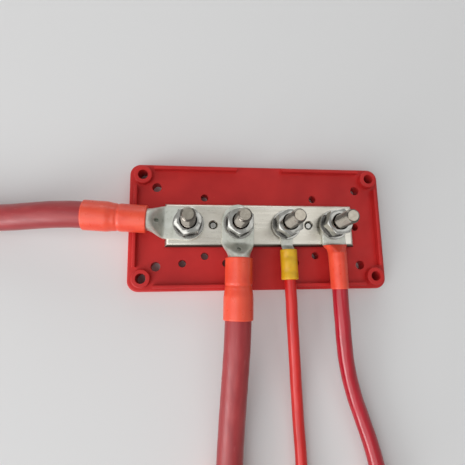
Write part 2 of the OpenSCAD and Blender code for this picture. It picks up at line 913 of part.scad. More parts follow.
module thin_conductor() {
    thin_near() wire_core();
    thin_far() wire_core();
}

module terminal_sleeve() {
    thin_near() grip();
}

module thin_wire() {
    color("#cd2d28") tube_along(thin_lead, wire_d, cable_sides);
}

module far_terminal_sleeve() {
    thin_far() grip();
}

module far_ring_terminal() {
    thin_far() terminal();
}

// Right lead

module right_near() {
    near_end(right_lead, 3, 0)
        children();
}

module right_far() {
    far_end(right_lead, small_reach, small_axis)
        children();
}

module right_lug() {
    right_near() small_lug();
}

module right_conductor() {
    right_near() small_core();
    right_far() small_core();
}

module right_shrink() {
    right_near() small_shrink();
}

module right_cable() {
    color("#af1e32") tube_along(right_lead, small_cable_d, cable_sides);
}

module right_far_shrink() {
    right_far() small_shrink();
}

module right_far_lug() {
    right_far() small_lug();
}

base();
bar();
stud_bolts();
bar_screws();
flat_washers();
spring_washers();
nuts();
left_lug();
left_conductor();
left_shrink();
left_cable();
left_far_shrink();
left_far_lug();
centre_lug();
centre_conductor();
centre_shrink();
centre_cable();
centre_far_shrink();
centre_far_lug();
ring_terminal();
thin_conductor();
terminal_sleeve();
thin_wire();
far_terminal_sleeve();
far_ring_terminal();
right_lug();
right_conductor();
right_shrink();
right_cable();
right_far_shrink();
right_far_lug();
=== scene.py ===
"""Looks for a four-stud bus bar with its bolted leads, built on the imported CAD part. Metres, +Z up."""
import json
from math import atan2, cos, exp, pi, radians, sin, tau

import bmesh
import bpy
from mathutils import Matrix, Vector, noise


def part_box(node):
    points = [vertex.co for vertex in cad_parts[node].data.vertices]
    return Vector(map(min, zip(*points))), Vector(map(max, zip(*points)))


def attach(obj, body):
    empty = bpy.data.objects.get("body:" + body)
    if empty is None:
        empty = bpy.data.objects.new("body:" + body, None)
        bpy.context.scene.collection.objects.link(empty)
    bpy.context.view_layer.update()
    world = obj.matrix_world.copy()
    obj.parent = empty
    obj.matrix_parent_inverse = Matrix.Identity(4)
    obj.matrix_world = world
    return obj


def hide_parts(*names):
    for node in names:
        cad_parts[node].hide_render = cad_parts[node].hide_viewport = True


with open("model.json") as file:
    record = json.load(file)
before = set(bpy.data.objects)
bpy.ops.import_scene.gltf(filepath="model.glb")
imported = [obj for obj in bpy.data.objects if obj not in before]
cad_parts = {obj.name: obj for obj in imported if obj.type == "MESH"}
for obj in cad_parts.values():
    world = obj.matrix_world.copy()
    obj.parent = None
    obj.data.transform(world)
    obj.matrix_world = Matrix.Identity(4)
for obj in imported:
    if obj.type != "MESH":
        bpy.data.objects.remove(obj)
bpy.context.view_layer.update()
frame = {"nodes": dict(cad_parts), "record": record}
scene = bpy.context.scene


# Studio
# A plain matt floor under a dim even sky, with a paler backdrop that shows behind the part and in its
# metal. A large soft key stands at the left front, with a low lamp that draws highlights along the
# cables. Flat metal mirrors one overhead, and one more is low behind.
mm = 0.001
FLOOR_SIDE = 1.6
FLOOR_GREY = 0.74
FLOOR_DROP = 0.05 * mm
SKY_LEVEL = 0.2
BACKDROP_LEVEL = 0.6

scene.view_settings.view_transform = "Standard"
sky = bpy.data.worlds.new("studio_sky")
sky.use_nodes = True
sky_nodes = sky.node_tree.nodes
sky_links = sky.node_tree.links
sky_light = sky_nodes["Background"]
sky_light.inputs["Color"].default_value = (1.0, 1.0, 1.0, 1.0)
sky_light.inputs["Strength"].default_value = SKY_LEVEL
backdrop = sky_nodes.new("ShaderNodeBackground")
backdrop.inputs["Color"].default_value = (1.0, 1.0, 1.0, 1.0)
backdrop.inputs["Strength"].default_value = BACKDROP_LEVEL
lit_or_seen = sky_nodes.new("ShaderNodeMixShader")
ray = sky_nodes.new("ShaderNodeLightPath")
seen = ray.outputs["Is Camera Ray"]
for other in ("Is Glossy Ray", "Is Transmission Ray"):
    either = sky_nodes.new("ShaderNodeMath")
    either.operation = "MAXIMUM"
    sky_links.new(seen, either.inputs[0])
    sky_links.new(ray.outputs[other], either.inputs[1])
    seen = either.outputs["Value"]
sky_links.new(seen, lit_or_seen.inputs["Fac"])
sky_links.new(sky_light.outputs["Background"], lit_or_seen.inputs[1])
sky_links.new(backdrop.outputs["Background"], lit_or_seen.inputs[2])
sky_links.new(lit_or_seen.outputs["Shader"], sky_nodes["World Output"].inputs["Surface"])
scene.world = sky

floor_mesh = bpy.data.meshes.new("floor")
half = FLOOR_SIDE / 2
floor_mesh.from_pydata([(-half, -half, 0), (half, -half, 0), (half, half, 0), (-half, half, 0)],
                       [], [(0, 1, 2, 3)])
floor = bpy.data.objects.new("floor", floor_mesh)
floor.location.z = -FLOOR_DROP
scene.collection.objects.link(floor)
floor_paint = bpy.data.materials.new("floor_paint")
floor_paint.use_nodes = True
floor_shader = floor_paint.node_tree.nodes["Principled BSDF"]
floor_shader.inputs["Base Color"].default_value = (FLOOR_GREY, FLOOR_GREY, FLOOR_GREY, 1.0)
floor_shader.inputs["Roughness"].default_value = 1.0
floor_shader.inputs["Specular IOR Level"].default_value = 0.0
floor_mesh.materials.append(floor_paint)


def lamp(name, place, width, depth, power):
    """A soft lamp that looks at the middle of the base."""
    light = bpy.data.lights.new(name, "AREA")
    light.shape = "RECTANGLE"
    light.size = width
    light.size_y = depth
    light.energy = power
    holder = bpy.data.objects.new(name, light)
    holder.location = place
    holder.rotation_euler = (-Vector(place)).to_track_quat("-Z", "Y").to_euler()
    scene.collection.objects.link(holder)


lamp("key_lamp", (-0.66, -0.51, 0.78), width=1.5, depth=1.5, power=12.8)
lamp("low_lamp", (-1.6, -1.32, 0.6), width=1.2, depth=0.8, power=18.4)
lamp("top_lamp", (0.3, 0.12, 0.66), width=0.54, depth=0.34, power=0.36)
lamp("back_lamp", (0.0, 0.75, 0.35), width=0.9, depth=0.4, power=1.6)

CAMERA_AT = Vector((-33.06, -30.52, 168.66)) * mm
CAMERA_TURN = (radians(9.732), radians(-6.750), radians(-0.954))
CAMERA_LENS = 27.23
CAMERA_SENSOR = 36.0
lens = bpy.data.cameras.new("photo_camera")
lens.lens = CAMERA_LENS
lens.sensor_width = CAMERA_SENSOR
lens.clip_start = 5 * mm
camera = bpy.data.objects.new("photo_camera", lens)
camera.location = CAMERA_AT
camera.rotation_euler = CAMERA_TURN
scene.collection.objects.link(camera)
scene.camera = camera


# Base
# One red moulding of glass-filled plastic: a floor with a low broken lip, four corner bosses and rows
# of screw holes, cored out below between ribs. The mould leaves a satin grain and soft edges.
BASE_EDGE = 0.22 * mm
NOISE_LOW = 0.3
NOISE_HIGH = 0.7
MERGE = 0.001 * mm
SAME_PLANE = radians(0.5)
SHARP_EDGE = radians(32)


def paint(red, green, blue):
    """A colour as read off a screen, 0 to 255, made linear for a shader."""
    return (*(((c / 255 + 0.055) / 1.055) ** 2.4 for c in (red, green, blue)), 1.0)


def new_finish(name, metallic=0.0):
    """A material of one shader, whose colour, gloss and grain follow."""
    finish = bpy.data.materials.new(name)
    finish.use_nodes = True
    finish.node_tree.nodes["Principled BSDF"].inputs["Metallic"].default_value = metallic
    return finish


def shader_of(finish):
    return finish.node_tree.nodes["Principled BSDF"]


def speckle(finish, size, drawn=(1, 1, 1), detail=4.0):
    """Noise with spots of that size in the piece's own coordinates, drawn out along its axes."""
    nodes = finish.node_tree.nodes
    links = finish.node_tree.links
    where = nodes.new("ShaderNodeTexCoord")
    scaled = nodes.new("ShaderNodeMapping")
    scaled.inputs["Scale"].default_value = [1 / d for d in drawn]
    spots = nodes.new("ShaderNodeTexNoise")
    spots.inputs["Scale"].default_value = 1 / size
    spots.inputs["Detail"].default_value = detail
    links.new(where.outputs["Object"], scaled.inputs["Vector"])
    links.new(scaled.outputs["Vector"], spots.inputs["Vector"])
    return spots.outputs["Fac"]


def tint(finish, spots, *colours):
    """Base colour that runs through these colours from the darkest spots to the brightest."""
    ramp = finish.node_tree.nodes.new("ShaderNodeValToRGB")
    stops = ramp.color_ramp.elements
    stops[0].position = NOISE_LOW
    stops[0].color = colours[0]
    stops[1].position = NOISE_HIGH
    stops[1].color = colours[-1]
    for i, colour in enumerate(colours[1:-1], 1):
        stops.new(NOISE_LOW + (NOISE_HIGH - NOISE_LOW) * i / (len(colours) - 1)).color = colour
    finish.node_tree.links.new(spots, ramp.inputs["Fac"])
    finish.node_tree.links.new(ramp.outputs["Color"], shader_of(finish).inputs["Base Color"])


def stain_and_painted_light(finish, spots, colour, start, full):
    """Another colour over the base colour, as a real stain and as painted light and shade: none where
    the spots are at start, all of it at full.
    """
    nodes = finish.node_tree.nodes
    links = finish.node_tree.links
    base = shader_of(finish).inputs["Base Color"]
    under = base.links[0].from_socket
    mask = nodes.new("ShaderNodeMapRange")
    mask.inputs["From Min"].default_value = start
    mask.inputs["From Max"].default_value = full
    mix = nodes.new("ShaderNodeMix")
    mix.data_type = "RGBA"
    links.new(spots, mask.inputs["Value"])
    links.new(mask.outputs["Result"], mix.inputs["Factor"])
    links.new(under, mix.inputs[6])
    mix.inputs[7].default_value = colour
    links.new(mix.outputs[2], base)


def facing(finish, way):
    """How far a surface faces that way in the piece's own coordinates, from -1 to 1."""
    where = finish.node_tree.nodes.new("ShaderNodeTexCoord")
    along = finish.node_tree.nodes.new("ShaderNodeVectorMath")
    along.operation = "DOT_PRODUCT"
    along.inputs[1].default_value = way
    finish.node_tree.links.new(where.outputs["Normal"], along.inputs[0])
    return along.outputs["Value"]


def gloss(finish, spots, smooth, rough):
    """Roughness that follows the spots."""
    spread = finish.node_tree.nodes.new("ShaderNodeMapRange")
    spread.inputs["From Min"].default_value = NOISE_LOW
    spread.inputs["From Max"].default_value = NOISE_HIGH
    spread.inputs["To Min"].default_value = smooth
    spread.inputs["To Max"].default_value = rough
    finish.node_tree.links.new(spots, spread.inputs["Value"])
    finish.node_tree.links.new(spread.outputs["Result"], shader_of(finish).inputs["Roughness"])


def grain(finish, spots, depth):
    """Relief of that depth over what relief is already there."""
    links = finish.node_tree.links
    normal = shader_of(finish).inputs["Normal"]
    bump = finish.node_tree.nodes.new("ShaderNodeBump")
    bump.inputs["Distance"].default_value = depth
    if normal.links:
        links.new(normal.links[0].from_socket, bump.inputs["Normal"])
    links.new(spots, bump.inputs["Height"])
    links.new(bump.outputs["Normal"], normal)


def show(name, mesh, finish, slot, *nodes):
    """Puts a mesh on the part in place of these CAD nodes."""
    mesh.materials.clear()
    mesh.materials.append(finish)
    piece = bpy.data.objects.new(name, mesh)
    scene.collection.objects.link(piece)
    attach(piece, "root")
    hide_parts(*nodes)
    return piece


def eased(node, finish, slot, edge):
    """A copy of a CAD solid with its sharp edges softened, shown in its place."""
    work = bmesh.new()
    work.from_mesh(frame["nodes"][node].data)
    for layer in list(work.loops.layers.uv):
        work.loops.layers.uv.remove(layer)
    bmesh.ops.remove_doubles(work, verts=work.verts, dist=MERGE)
    bmesh.ops.dissolve_limit(work, angle_limit=SAME_PLANE, verts=work.verts, edges=work.edges)
    for face in work.faces:
        face.smooth = True
    mesh = bpy.data.meshes.new(node + "_look")
    work.to_mesh(mesh)
    work.free()
    if "custom_normal" in mesh.attributes:
        mesh.attributes.remove(mesh.attributes["custom_normal"])
    piece = show(node + "_look", mesh, finish, slot, node)
    soft = piece.modifiers.new("soft_edges", "BEVEL")
    soft.width = edge
    soft.segments = 2
    soft.limit_method = "ANGLE"
    soft.angle_limit = SHARP_EDGE
    soft.harden_normals = True
    return piece


base_red = new_finish("moulded_red")
tint(base_red, speckle(base_red, 14 * mm), paint(182, 38, 38), paint(191, 43, 42), paint(198, 46, 44))
stain_and_painted_light(base_red, speckle(base_red, 2.2 * mm, detail=8), paint(202, 66, 58), start=0.68, full=0.9)
shader_of(base_red).inputs["Specular IOR Level"].default_value = 0.25
gloss(base_red, speckle(base_red, 5 * mm), smooth=0.36, rough=0.52)
grain(base_red, speckle(base_red, 0.35 * mm), depth=0.02 * mm)
eased("base", base_red, "red_base", BASE_EDGE)


# Stud bolts
# Four quarter-inch steel bolts pushed up through the base, with their hex heads in pockets below. The
# thread shows above the nuts, with painted shade on its upward flanks and painted light on its crests
# and lower flanks, and ends in a turned chamfer.
STUD_R = 3.175 * mm
STUD_CHAMFER = 0.9 * mm
THREAD_PITCH = 1.27 * mm
THREAD_DEPTH = 0.78 * mm
CREST = 0.14
ROOT = 0.22
FLANK = (1 - CREST - ROOT) / 2
THREAD_ENGAGED = 0.41 * mm
THREAD_CLEAR = 0.4 * mm
NUT_HEIGHT = 5.5 * mm
TURN_STEPS = 48
HEAD_FLATS = 11.1 * mm
HEAD_HEIGHT = 4.0 * mm
HEAD_TURN = radians(12)
HEAD_STEPS = 72
HEAD_SLOPE = 0.58
OVERLAP = 0.1 * mm
STUD_MERGE = 0.002 * mm
TIP_NEAR = 0.01 * mm
UP = (0, 0, 1)
studs = {m["name"]: Vector(m["pos_m"]) for m in frame["record"]["mounts"] if m["kind"] == "pin"}
stud_low, stud_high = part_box("stud_bolts")
head_top = stud_low.z + HEAD_HEIGHT
chamfer_foot = stud_high.z - STUD_CHAMFER


def add_thread(work, x, y, low, high):
    """A threaded end from low to high, with its grid wound along the helix so that crests stay crisp.
    Over one pitch the sixty-degree thread has a flat crest, a flank, a flat root and a flank."""
    root_r = STUD_R - THREAD_DEPTH
    marks = [(0.0, STUD_R), (CREST, STUD_R), (CREST + FLANK, root_r), (CREST + FLANK + ROOT, root_r)]
    grid = []
    turns = int((high - low) / THREAD_PITCH) + 3
    for turn in range(-1, turns):
        for mark, thread_r in marks:
            row = []
            for step in range(TURN_STEPS):
                z = low + (turn + mark + step / TURN_STEPS) * THREAD_PITCH
                z = min(max(z, low), high)
                r = min(thread_r, STUD_R - STUD_CHAMFER + (high - z))
                angle = tau * step / TURN_STEPS
                row.append(work.verts.new((x + r * cos(angle), y + r * sin(angle), z)))
            grid.append(row)
    for i in range(len(grid) - 1):
        for step in range(TURN_STEPS):
            if step < TURN_STEPS - 1:
                after = (grid[i][step + 1], grid[i + 1][step + 1])
            elif i + len(marks) + 1 < len(grid):
                after = (grid[i + len(marks)][0], grid[i + len(marks) + 1][0])
            else:
                continue
            work.faces.new((grid[i][step], after[0], after[1], grid[i + 1][step]))


def add_lathe(work, x, y, outline, steps=TURN_STEPS):
    """A turned body about a vertical axis, from an outline of radius and height pairs."""
    rows = []
    for r, z in outline:
        ring = [work.verts.new((x + r * cos(tau * i / steps), y + r * sin(tau * i / steps), z))
                for i in range(steps)]
        rows.append(ring)
    for low, high in zip(rows, rows[1:]):
        for i in range(steps):
            j = (i + 1) % steps
            work.faces.new((low[i], low[j], high[j], high[i]))
    return rows


def add_hex(work, x, y, low, high, turn):
    """A hex head with its corners turned off at the lower end."""
    flat = HEAD_FLATS / 2
    corner = flat / cos(pi / 6)
    rows = []
    for z, turned in ((low, True), (low + (corner - flat) * HEAD_SLOPE, False), (high, False)):
        ring = []
        for i in range(HEAD_STEPS):
            angle = tau * i / HEAD_STEPS
            side = (angle + pi / 6) % (pi / 3) - pi / 6
            r = flat if turned else flat / cos(side)
            ring.append(work.verts.new((x + r * cos(angle + turn), y + r * sin(angle + turn), z)))
        rows.append(ring)
    for a, b in zip(rows, rows[1:]):
        for i in range(HEAD_STEPS):
            j = (i + 1) % HEAD_STEPS
            work.faces.new((a[i], a[j], b[j], b[i]))
    work.faces.new(reversed(rows[0]))
    work.faces.new(rows[-1])


def finish_mesh(name, work, sharp=35):
    """The finished mesh, smooth but for edges sharper than that many degrees."""
    bmesh.ops.recalc_face_normals(work, faces=work.faces)
    for face in work.faces:
        face.smooth = True
    mesh = bpy.data.meshes.new(name)
    work.to_mesh(mesh)
    work.free()
    mesh.set_sharp_from_angle(angle=radians(sharp))
    return mesh


stud_work = bmesh.new()
for stud in studs.values():
    # The record's pin is the free thread between the nut and the chamfer, given by its middle.
    free = 2 * stud.z - chamfer_foot
    nut_foot = free - THREAD_CLEAR - NUT_HEIGHT
    engaged_r = STUD_R - THREAD_ENGAGED
    add_hex(stud_work, stud.x, stud.y, stud_low.z, head_top, HEAD_TURN)
    add_lathe(stud_work, stud.x, stud.y, [(STUD_R, head_top - OVERLAP), (STUD_R, nut_foot - OVERLAP),
                                          (engaged_r, nut_foot), (engaged_r, free)])
    add_thread(stud_work, stud.x, stud.y, free - THREAD_CLEAR, stud_high.z)
bmesh.ops.remove_doubles(stud_work, verts=stud_work.verts, dist=STUD_MERGE)
bmesh.ops.dissolve_degenerate(stud_work, edges=stud_work.edges, dist=STUD_MERGE)
tips = [edge for edge in stud_work.edges
        if edge.is_boundary and all(stud_high.z - corner.co.z < TIP_NEAR for corner in edge.verts)]
bmesh.ops.contextual_create(stud_work, geom=tips)
stud_steel = new_finish("stud_steel_painted_light_and_shade", metallic=1.0)
tint(stud_steel, speckle(stud_steel, 1.6 * mm, detail=6), paint(162, 155, 142), paint(182, 175, 162))
# Painted shade and light: the upward thread flanks are coloured darker, the crests and lower flanks
# lighter again, and only the flat tops keep the steel's own tint.
stain_and_painted_light(stud_steel, facing(stud_steel, UP), paint(100, 95, 89), start=0.97, full=0.87)
stain_and_painted_light(stud_steel, facing(stud_steel, UP), paint(164, 158, 148), start=0.6, full=0.3)
gloss(stud_steel, speckle(stud_steel, 0.8 * mm), smooth=0.13, rough=0.22)
grain(stud_steel, speckle(stud_steel, 0.5 * mm), depth=0.003 * mm)
stud_mesh = finish_mesh("stud_bolts_look", stud_work, sharp=28)
show("stud_bolts_look", stud_mesh, stud_steel, "stud_steel", "stud_bolts")


# Bar
# One length of flat copper with rolled edges, drilled for the studs and its two screws and then
# tin-plated, which leaves a soft silver-grey sheen with faint marks along its length.
BAR_EDGE = 0.15 * mm
TO_FRONT = (0, -1, 0)
tinned = new_finish("tinned_bar", metallic=1.0)
tint(tinned, speckle(tinned, 9 * mm, drawn=(2.5, 1, 1), detail=6),
     paint(196, 191, 179), paint(212, 208, 197), paint(222, 219, 209))
stain_and_painted_light(tinned, speckle(tinned, 1.1 * mm, detail=8), paint(168, 161, 146), start=0.62, full=0.8)
# Painted shade: the rolled front edge and the front face, which face the front, are coloured darker.
stain_and_painted_light(tinned, facing(tinned, TO_FRONT), paint(98, 94, 86), start=0.06, full=0.3)
gloss(tinned, speckle(tinned, 1.2 * mm, drawn=(14, 1, 1)), smooth=0.24, rough=0.38)
grain(tinned, speckle(tinned, 0.3 * mm, drawn=(30, 1, 1)), depth=0.006 * mm)
eased("bar", tinned, "tinned_bar", BAR_EDGE)


# Bar screws
# Two short machine screws of zinc-plated steel, driven up from below through the base into the bar's
# tapped holes. They hold the bar down, and their tips show in it.
SCREW_EDGE = 0.1 * mm
zinc = new_finish("bright_zinc", metallic=1.0)
tint(zinc, speckle(zinc, 3 * mm, detail=5),
     paint(158, 156, 150), paint(174, 173, 168), paint(184, 183, 178))
# Painted shade: chamfers and other sloping faces are coloured near black, and upright sides and
# undersides a grey darker than the flat tops.
stain_and_painted_light(zinc, facing(zinc, UP), paint(34, 33, 31), start=0.9, full=0.8)
stain_and_painted_light(zinc, facing(zinc, UP), paint(142, 140, 134), start=0.5, full=0.2)
gloss(zinc, speckle(zinc, 1.0 * mm), smooth=0.1, rough=0.2)
grain(zinc, speckle(zinc, 0.6 * mm), depth=0.002 * mm)
eased("bar_screws", zinc, "zinc_steel", SCREW_EDGE)


# Washers and nuts
# Under each plain hex nut a spring-steel split washer, coloured dark as painted shade, and a flat
# washer.
# Nuts and flat washers are steel with a bright zinc plate, with painted shade on their chamfers and
# sides.
# The nuts are spanner-tight and have their corners turned off.
FLAT_WASHER_EDGE = 0.18 * mm
SPRING_WASHER_EDGE = 0.15 * mm
NUT_EDGE = 0.16 * mm
eased("flat_washers", zinc, "zinc_steel", FLAT_WASHER_EDGE)
# Painted shade: the split washers are coloured dark all over, standing for the shade round each nut's
# foot.
spring_steel = new_finish("spring_washer_painted_shade", metallic=1.0)
tint(spring_steel, speckle(spring_steel, 2 * mm, detail=5), paint(62, 61, 58), paint(82, 80, 76))
gloss(spring_steel, speckle(spring_steel, 0.8 * mm), smooth=0.2, rough=0.32)
grain(spring_steel, speckle(spring_steel, 0.5 * mm), depth=0.002 * mm)
eased("spring_washers", spring_steel, "zinc_steel", SPRING_WASHER_EDGE)
eased("nuts", zinc, "zinc_steel", NUT_EDGE)


# Runs of the leads
# Each lead leaves its stud in line with its lug, comes down to the floor and lies there as far as the
# same lug or terminal on its other end. Points are from the lead's own stud, up from the floor.
ROUTES = {
    "left": [(-45, 3, 16), (-50, 3.2, 15.8), (-54, 3.2, 15.4), (-58, 3.2, 14.8), (-62, 3.1, 14),
             (-66, 3, 13), (-70, 2.9, 12), (-74, 2.8, 10.9), (-78, 2.8, 9.9), (-82, 2.8, 8.9),
             (-86, 2.9, 8), (-90, 3, 7.2), (-94, 3, 6.7), (-99, 3, 6.5), (-114, 3, 6.5)],
    "centre": [(-1.4, -42.5, 16), (-1.6, -47, 15.8), (-1.8, -51, 15.5), (-2, -55, 14.9),
               (-2.3, -59, 14.2), (-2.5, -63, 13.4), (-2.8, -67, 12.6), (-3, -71, 11.7),
               (-3.3, -75, 10.8), (-3.5, -79, 9.9), (-3.8, -83, 9), (-4, -87, 8.2), (-4.2, -91, 7.5),
               (-4.5, -95, 7), (-4.7, -99, 6.6), (-5, -104, 6.5), (-5.8, -119, 6.5)],
    "third": [(0.3, -26, 12.8), (0.4, -31, 12.8), (0.6, -36, 12.5), (0.7, -41, 12), (1, -46, 11.2),
              (1.4, -51, 10.2), (1.8, -56, 9), (2.2, -61, 7.9), (2.6, -66, 6.7), (2.9, -71, 5.7),
              (3.3, -76, 4.8), (3.6, -81, 4.1), (3.8, -86, 3.7), (4, -91, 3.5), (4.2, -96, 3.5),
              (4.4, -102, 3.5), (4.5, -108, 3.5), (4.8, -120, 3.5)],
    "right": [(0.3, -30, 14), (0.4, -35, 13.8), (0.6, -40, 13.4), (1, -45, 12.8), (1.4, -50, 11.9),
              (2, -55, 10.9), (2.7, -60, 9.7), (3.7, -65, 8.6), (4.9, -70, 7.4), (6.3, -75, 6.5),
              (7.8, -80, 5.7), (9.6, -85, 5.1), (11.2, -90, 4.8), (13.1, -96, 4.7), (14.7, -102, 4.7),
              (16, -108, 4.7), (18.4, -120, 4.7)],
}
SEAM = 0.1 * mm
bar_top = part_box("bar")[1].z


def run(name, reach, slip=0.0):
    """A lead's points from the open end of its near barrel, and the frames of its two lugs. In a lug's
    frame the hole is on Z, the palm's underside at z = 0 and the barrel along +X. The near lug's hole
    has slipped that far off its stud."""
    stud = studs[name + "_stud"]
    points = [Vector(p) * mm + Vector((stud.x, stud.y, 0)) for p in ROUTES[name]]
    way = ((points[0] - stud) * Vector((1, 1, 0))).normalized()
    foot = Vector((stud.x, stud.y, bar_top)) + way * slip
    start = foot + way * (reach + SEAM)
    start.z = points[0].z
    axis = points[0].z - bar_top
    back = (points[-2] - points[-1]).normalized()
    eye = points[-1] - back * (reach + SEAM) - Vector((0, 0, axis))
    near = Matrix.Translation(foot) @ Matrix.Rotation(atan2(way.y, way.x), 4, "Z")
    far = Matrix.Translation(eye) @ Matrix.Rotation(atan2(back.y, back.x), 4, "Z")
    return [start, *points], near, far


# Large lugs
# Tin-plated copper tubes, pressed flat into a palm at one end, with the tube's seamless neck rounded
# down into it and a sight hole to see the strands through. One pair on the left lead, one on the centre.
LUG_PALM = (14.7 * mm, 2.4 * mm)
LUG_EYE = 8.6 * mm
LUG_TAIL = 8.2 * mm
LUG_FRONT = 9.2 * mm
LUG_NECK = 7.5 * mm
LUG_BARREL = 9.6 * mm
LUG_AXIS = 6.0 * mm
LUG_REACH = 30.0 * mm
LUG_BORE = 7.5 * mm
LUG_BORE_DEPTH = 11.0 * mm
LUG_SIGHT = 2.0 * mm
LUG_SOFT = 0.3 * mm
EYE_BREAK = 0.15 * mm
SIGHT_BREAK = 0.1 * mm
SIGHT_FLOOR = 0.7
POINTS_ACROSS = 7
LEFT_SLIP = 0.9 * mm
CENTRE_SLIP = -1.0 * mm


def ease(t):
    """Runs smoothly from 0 to 1."""
    t = min(max(t, 0.0), 1.0)
    return t * t * (3 - 2 * t)


def section(x, width, height, radius, middle, steps=10, across=0):
    """A ring of points across the X axis: a rounded rectangle, or a circle where the radius fills it.
    With points across, the flats between the corners are divided too."""
    ring = []
    corners = ((1, 1), (-1, 1), (-1, -1), (1, -1))
    for corner, (side, up) in enumerate(corners):
        for step in range(steps):
            angle = (corner + step / (steps - 1)) * pi / 2
            ring.append(Vector((x, side * (width / 2 - radius) + radius * cos(angle),
                                middle + up * (height / 2 - radius) + radius * sin(angle))))
        if corner in (0, 2):
            last = ring[-1]
            for i in range(across):
                slide = (i + 1) / (across + 1)
                ring.append(Vector((x, last.y * (1 - 2 * slide), last.z)))
    return ring


def add_skin(work, rings, around=False):
    """Faces from ring to ring, closed by end faces, or joined from the last ring back to the first."""
    rows = [[work.verts.new(p) for p in ring] for ring in rings]
    pairs = list(zip(rows, rows[1:]))
    if around:
        pairs.append((rows[-1], rows[0]))
    for a, b in pairs:
        for i in range(len(a)):
            j = (i + 1) % len(a)
            work.faces.new((a[i], a[j], b[j], b[i]))
    if not around:
        work.faces.new(reversed(rows[0]))
        work.faces.new(rows[-1])


def lug_ring(x, palm, tail, front, neck, barrel, axis):
    """The section of a pressed tube at x: the palm with its rounded end, the neck or the barrel."""
    t = ease((x - front) / neck)
    centre = palm[0] / 2 - tail
    flat = palm[0]
    if x < centre:
        flat = 2 * max((palm[0] / 2) ** 2 - (x - centre) ** 2, 0) ** 0.5
    width = flat + (barrel - flat) * t
    height = palm[1] + (barrel - palm[1]) * t
    radius = min(LUG_SOFT + (barrel / 2 - LUG_SOFT) * t, width / 2, height / 2)
    middle = palm[1] / 2 + (axis - palm[1] / 2) * t
    return section(x, width, height, radius, middle, across=POINTS_ACROSS)


def add_bit(work, place, radius, low, high, sink):
    """A drill down Z from high to low that leaves the hole's two rims broken by that much."""
    wide = radius + 2 * sink
    outline = [(wide, low - sink), (radius + sink, low), (radius, low + sink),
               (radius, high - sink), (radius + sink, high), (wide, high + sink)]
    rows = add_lathe(work, place.x, place.y, outline)
    work.faces.new(reversed(rows[0]))
    work.faces.new(rows[-1])


def tube_lug(name, palm, eye, tail, front, neck, barrel, axis, reach, bore, depth, sight):
    """A lug in its own frame, pressed from one tube and then drilled."""
    work = bmesh.new()
    centre = palm[0] / 2 - tail
    tip_rings = 24
    palm_rings = 12
    neck_rings = 28
    places = [centre - (palm[0] / 2) * cos(pi / 2 * i / tip_rings) for i in range(1, tip_rings + 1)]
    places += [centre + (front - centre) * i / palm_rings for i in range(1, palm_rings)]
    places += [front + neck * i / neck_rings for i in range(neck_rings + 1)]
    rings = [lug_ring(x, palm, tail, front, neck, barrel, axis) for x in places]
    for x, across in ((reach - LUG_SOFT, barrel), (reach, barrel - 2 * LUG_SOFT),
                      (reach, bore + LUG_SOFT), (reach - LUG_SOFT, bore), (reach - depth, bore)):
        rings.append(section(x, across, across, across / 2, axis, across=POINTS_ACROSS))
    add_skin(work, rings)
    bmesh.ops.remove_doubles(work, verts=work.verts, dist=MERGE)
    bmesh.ops.dissolve_degenerate(work, edges=work.edges, dist=MERGE)
    bits = bmesh.new()
    add_bit(bits, Vector((0, 0, 0)), eye / 2, 0, palm[1], EYE_BREAK)
    add_bit(bits, Vector((front + neck / 2, 0, 0)), sight / 2, palm[1] * SIGHT_FLOOR, axis + barrel,
            SIGHT_BREAK)
    blank = bpy.data.objects.new(name + "_blank", finish_mesh(name + "_blank", work, sharp=40))
    drill = bpy.data.objects.new(name + "_drill", finish_mesh(name + "_drill", bits))
    for piece in (blank, drill):
        scene.collection.objects.link(piece)
    cut = blank.modifiers.new("holes", "BOOLEAN")
    cut.object = drill
    cut.operation = "DIFFERENCE"
    cut.solver = "EXACT"
    whole = bpy.data.meshes.new_from_object(blank.evaluated_get(bpy.context.evaluated_depsgraph_get()))
    for piece in (blank, drill):
        bpy.data.objects.remove(piece)
    whole.name = name
    return whole


def at(piece, place):
    """Moves a piece made in a lug's frame to where the lug is."""
    piece.matrix_world = place
    return piece


tinned_lug = new_finish("tinned_lug", metallic=0.5)
tint(tinned_lug, speckle(tinned_lug, 4 * mm, detail=6), paint(188, 190, 178), paint(204, 206, 196),
     paint(216, 218, 210))
stain_and_painted_light(tinned_lug, speckle(tinned_lug, 0.9 * mm, detail=8), paint(156, 158, 144), start=0.6, full=0.8)
gloss(tinned_lug, speckle(tinned_lug, 1.4 * mm), smooth=0.34, rough=0.48)
grain(tinned_lug, speckle(tinned_lug, 0.6 * mm, drawn=(6, 1, 1)), depth=0.004 * mm)
large_lug = tube_lug("large_lug", palm=LUG_PALM, eye=LUG_EYE, tail=LUG_TAIL, front=LUG_FRONT,
                     neck=LUG_NECK, barrel=LUG_BARREL, axis=LUG_AXIS, reach=LUG_REACH,
                     bore=LUG_BORE, depth=LUG_BORE_DEPTH, sight=LUG_SIGHT)
left_run, left_near, left_far = run("left", LUG_REACH, LEFT_SLIP)
centre_run, centre_near, centre_far = run("centre", LUG_REACH, CENTRE_SLIP)
on_left = []
on_centre = []
for node, place, carried in (("left_lug", left_near, on_left), ("left_far_lug", left_far, on_left),
                             ("centre_lug", centre_near, on_centre),
                             ("centre_far_lug", centre_far, on_centre)):
    carried.append(at(show(node + "_look", large_lug, tinned_lug, "tinned_lug", node), place))


# Conductors
# The stripped ends of the cables: bundles of bare copper strands, crimped inside the barrels and so out
# of sight. They stay as the CAD has them.
strand = new_finish("copper_strand", metallic=1.0)
tint(strand, speckle(strand, 0.5 * mm, detail=6), paint(176, 104, 66), paint(214, 140, 96))
gloss(strand, speckle(strand, 0.6 * mm), smooth=0.3, rough=0.5)
grain(strand, speckle(strand, 0.4 * mm), depth=0.02 * mm)
for node in ("left_conductor", "centre_conductor", "thin_conductor", "right_conductor"):
    frame["nodes"][node].data.materials.clear()
    frame["nodes"][node].data.materials.append(strand)
on_left.append(frame["nodes"]["left_conductor"])
on_centre.append(frame["nodes"]["centre_conductor"])


